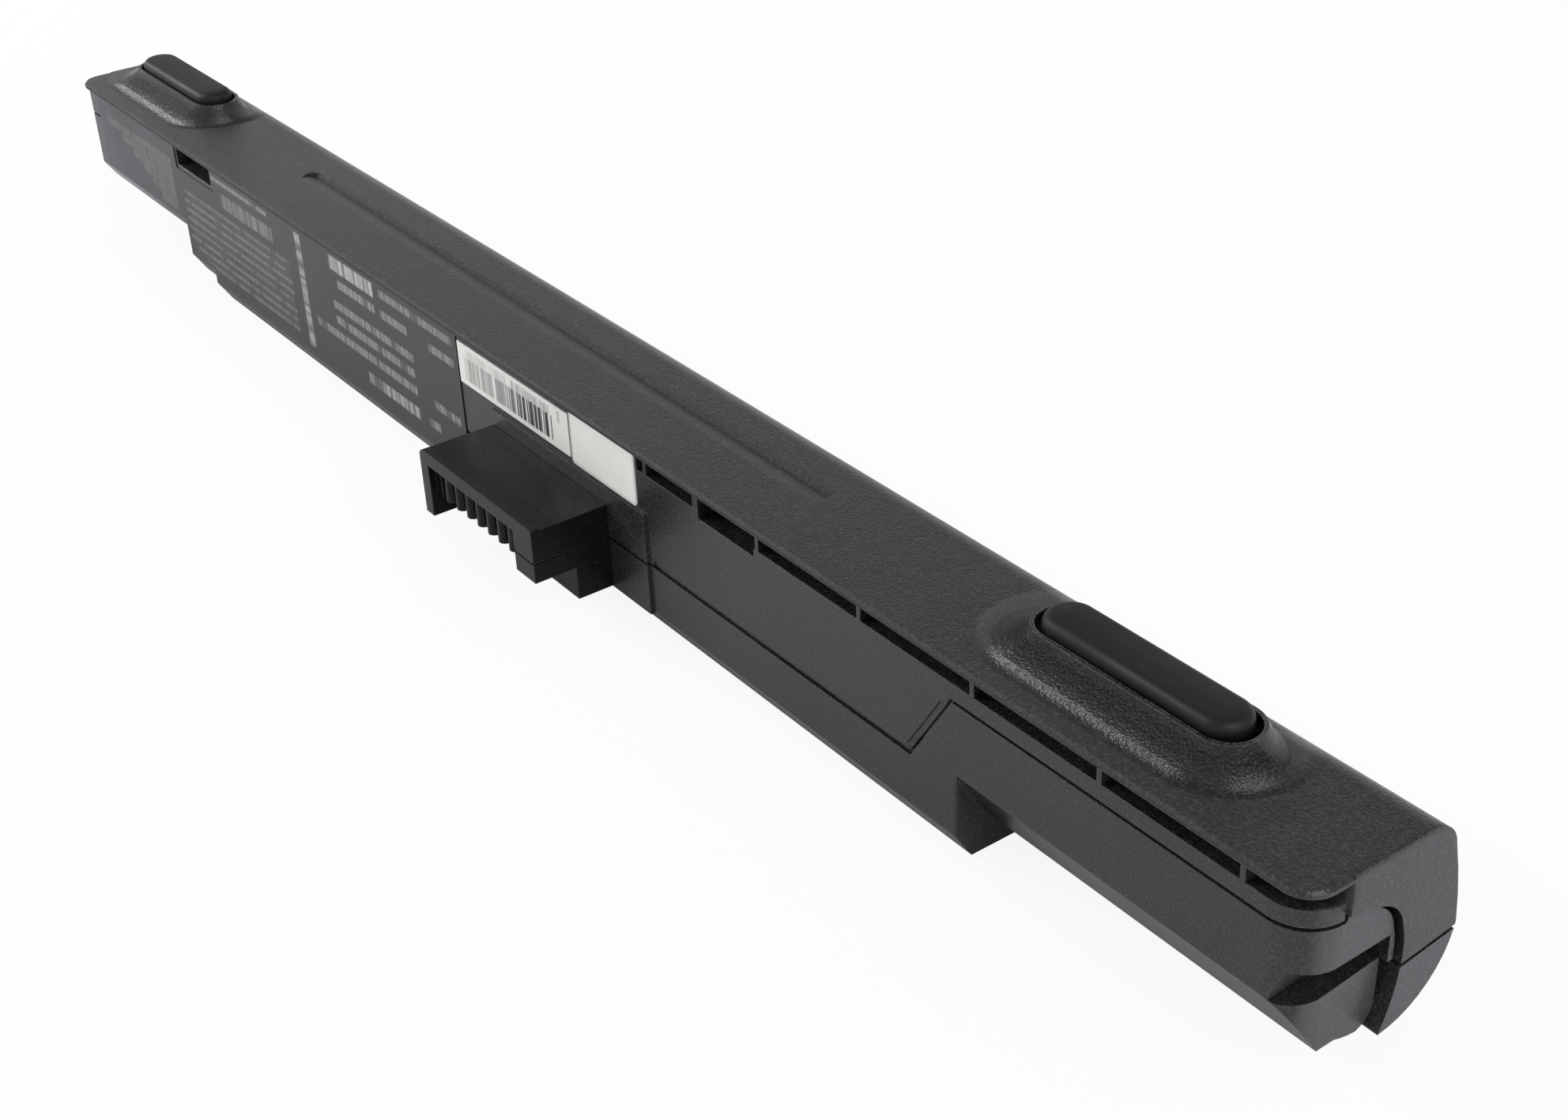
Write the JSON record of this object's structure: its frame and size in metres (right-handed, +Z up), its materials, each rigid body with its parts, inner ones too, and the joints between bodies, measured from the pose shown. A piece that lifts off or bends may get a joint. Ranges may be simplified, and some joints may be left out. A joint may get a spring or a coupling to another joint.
{
  "type": "laptop battery",
  "caption": "Slim bar-shaped laptop battery in a dark two-part case, with a blade connector on the front face, rubber feet on raised rims and latch pockets under a thin lip.",
  "frame": {"origin": "middle of the bar's length, on the flat underside of the deep middle part, under the cells' axis", "axes": "+X along the bar towards the end whose rim and guide slot face the camera in the picture, -Y out of the label and connector face, +Z up through the feet"},
  "size_m": [0.297, 0.0336, 0.0312],
  "materials": {
    "cover_plastic": "fine spark texture",
    "case_plastic": "smooth satin",
    "foot_rubber": "matte",
    "connector_plastic": "satin gloss",
    "contact_metal": "polished",
    "label_film": "semi-gloss film",
    "code_paper": "matte paper",
    "blank_paper": "matte paper",
    "cell_wrap": "shrink wrap",
    "nickel_strip": "bright",
    "fibre_ring": "pressed fibre",
    "foam": "open foam",
    "lead_sheath": "soft sheath",
    "board_laminate": "solder mask",
    "chip_resin": "moulded resin",
    "shunt_metal": "bright"
  },
  "bodies": {
    "root": {"upper_shell": "cover_plastic", "lower_shell": "case_plastic", "foot_far": "foot_rubber", "foot_near": "foot_rubber", "connector_housing": "connector_plastic", "contact_blades": "contact_metal", "front_label": "label_film", "code_sticker": "code_paper", "blank_sticker": "blank_paper", "cell_1": "cell_wrap", "cell_2": "cell_wrap", "cell_3": "cell_wrap", "cell_4": "cell_wrap", "cell_link_1": "nickel_strip", "cell_link_2": "nickel_strip", "cell_link_3": "nickel_strip", "end_tab_far": "nickel_strip", "end_tab_near": "nickel_strip", "ring_1": "fibre_ring", "ring_2": "fibre_ring", "ring_3": "fibre_ring", "end_pad_far": "foam", "end_pad_near": "foam", "foam_pad_1": "foam", "foam_pad_2": "foam", "foam_pad_3": "foam", "foam_pad_4": "foam", "lead_far": "lead_sheath", "lead_near": "lead_sheath", "circuit_board": "board_laminate", "control_chip": "chip_resin", "gauge_chip": "chip_resin", "power_switch_1": "chip_resin", "power_switch_2": "chip_resin", "fuse": "chip_resin", "thermistor": "chip_resin", "shunt": "shunt_metal"}
  },
  "joints": []
}
